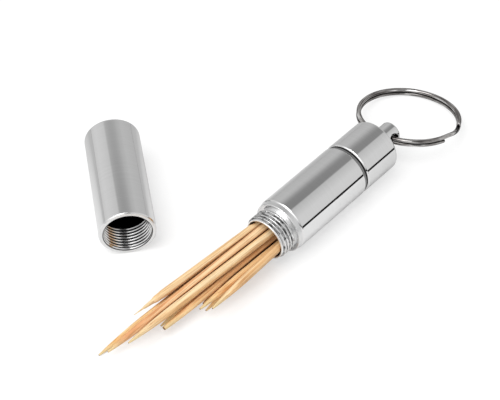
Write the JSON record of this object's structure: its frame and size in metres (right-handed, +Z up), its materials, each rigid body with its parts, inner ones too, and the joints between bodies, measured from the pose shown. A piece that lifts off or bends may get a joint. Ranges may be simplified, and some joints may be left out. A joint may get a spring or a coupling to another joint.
{
  "type": "keychain toothpick holder",
  "caption": "Polished metal pocket tube for toothpicks, with a threaded front cap lying open, a screwed tail cap and a split key ring through its boss.",
  "frame": {"origin": "centre of the bounding box of everything, at the height of the table that the open holder lies on", "axes": "+X along the barrel from its threaded mouth to its tail, +Z up from the table, +Y towards the front cap that lies beside it"},
  "size_m": [0.1282, 0.0722, 0.015],
  "materials": {
    "aluminium": "polished, turned",
    "rubber": "matt black",
    "gunmetal": "dark nickel, polished",
    "bamboo": "bare, fine lengthwise grain"
  },
  "bodies": {
    "barrel": {"barrel": "aluminium"},
    "tail_seal": {"tail_seal": "rubber"},
    "tail_cap": {"tail_cap": "aluminium"},
    "key_ring": {"key_ring": "gunmetal"},
    "front_cap": {"front_cap": "aluminium"},
    "toothpick_01": {"toothpick_01": "bamboo"},
    "toothpick_02": {"toothpick_02": "bamboo"},
    "toothpick_03": {"toothpick_03": "bamboo"},
    "toothpick_04": {"toothpick_04": "bamboo"},
    "toothpick_05": {"toothpick_05": "bamboo"},
    "toothpick_06": {"toothpick_06": "bamboo"},
    "toothpick_07": {"toothpick_07": "bamboo"},
    "toothpick_08": {"toothpick_08": "bamboo"},
    "toothpick_09": {"toothpick_09": "bamboo"},
    "toothpick_10": {"toothpick_10": "bamboo"}
  },
  "joints": [
    {"name": "tail_travel", "type": "slide", "parent": "barrel", "child": "tail_seal", "axis": [1, 0, 0], "range_m": [0, 0.0045]},
    {"name": "tail_turn", "type": "hinge", "parent": "tail_seal", "child": "tail_cap", "pos_m": [0.02931, -0.02341, 0.0075], "axis": [1, 0, 0], "range_deg": [0, 1620]},
    {"name": "ring_swing", "type": "hinge", "parent": "tail_cap", "child": "key_ring", "pos_m": [0.03646, -0.02341, 0.0075], "axis": [0, -0.9945, 0.1045], "range_deg": [-141, 163]},
    {"name": "front_cap_lift", "type": "slide", "parent": "barrel", "child": "front_cap", "axis": [0, 0, 1], "range_m": [0, 0.06]},
    {"name": "pick_01_slide", "type": "slide", "parent": "barrel", "child": "toothpick_01", "axis": [-0.987, 0.1067, -0.1202], "range_m": [-0.006, 0.015]},
    {"name": "pick_02_slide", "type": "slide", "parent": "barrel", "child": "toothpick_02", "axis": [-0.9831, 0.1139, -0.1434], "range_m": [0, 0.016]},
    {"name": "pick_03_slide", "type": "slide", "parent": "barrel", "child": "toothpick_03", "axis": [-0.9889, 0.1088, -0.1012], "range_m": [0, 0.0206]},
    {"name": "pick_04_slide", "type": "slide", "parent": "barrel", "child": "toothpick_04", "axis": [-0.9834, 0.1409, -0.1143], "range_m": [-0.008, 0.0275]},
    {"name": "pick_05_slide", "type": "slide", "parent": "barrel", "child": "toothpick_05", "axis": [-0.9929, 0.0426, -0.1107], "range_m": [-0.013, 0.0319]},
    {"name": "pick_06_slide", "type": "slide", "parent": "barrel", "child": "toothpick_06", "axis": [-0.9959, 0.0569, -0.0705], "range_m": [-0.014, 0.0305]},
    {"name": "pick_07_slide", "type": "slide", "parent": "barrel", "child": "toothpick_07", "axis": [-0.999, 0.0389, -0.0222], "range_m": [-0.0045, 0.0399]},
    {"name": "pick_08_slide", "type": "slide", "parent": "barrel", "child": "toothpick_08", "axis": [-0.9985, -0.0022, -0.0548], "range_m": [-0.0025, 0.0421]},
    {"name": "pick_09_slide", "type": "slide", "parent": "barrel", "child": "toothpick_09", "axis": [-0.9987, -0.0048, -0.051], "range_m": [-0.003, 0.0415]},
    {"name": "pick_10_slide", "type": "slide", "parent": "barrel", "child": "toothpick_10", "axis": [-0.9977, -0.0026, -0.0682], "range_m": [-0.0015, 0.0436]}
  ],
  "couplings": [
    {"joint": "tail_travel", "follows": "tail_turn", "m_per_rad": 0.00015915}
  ]
}
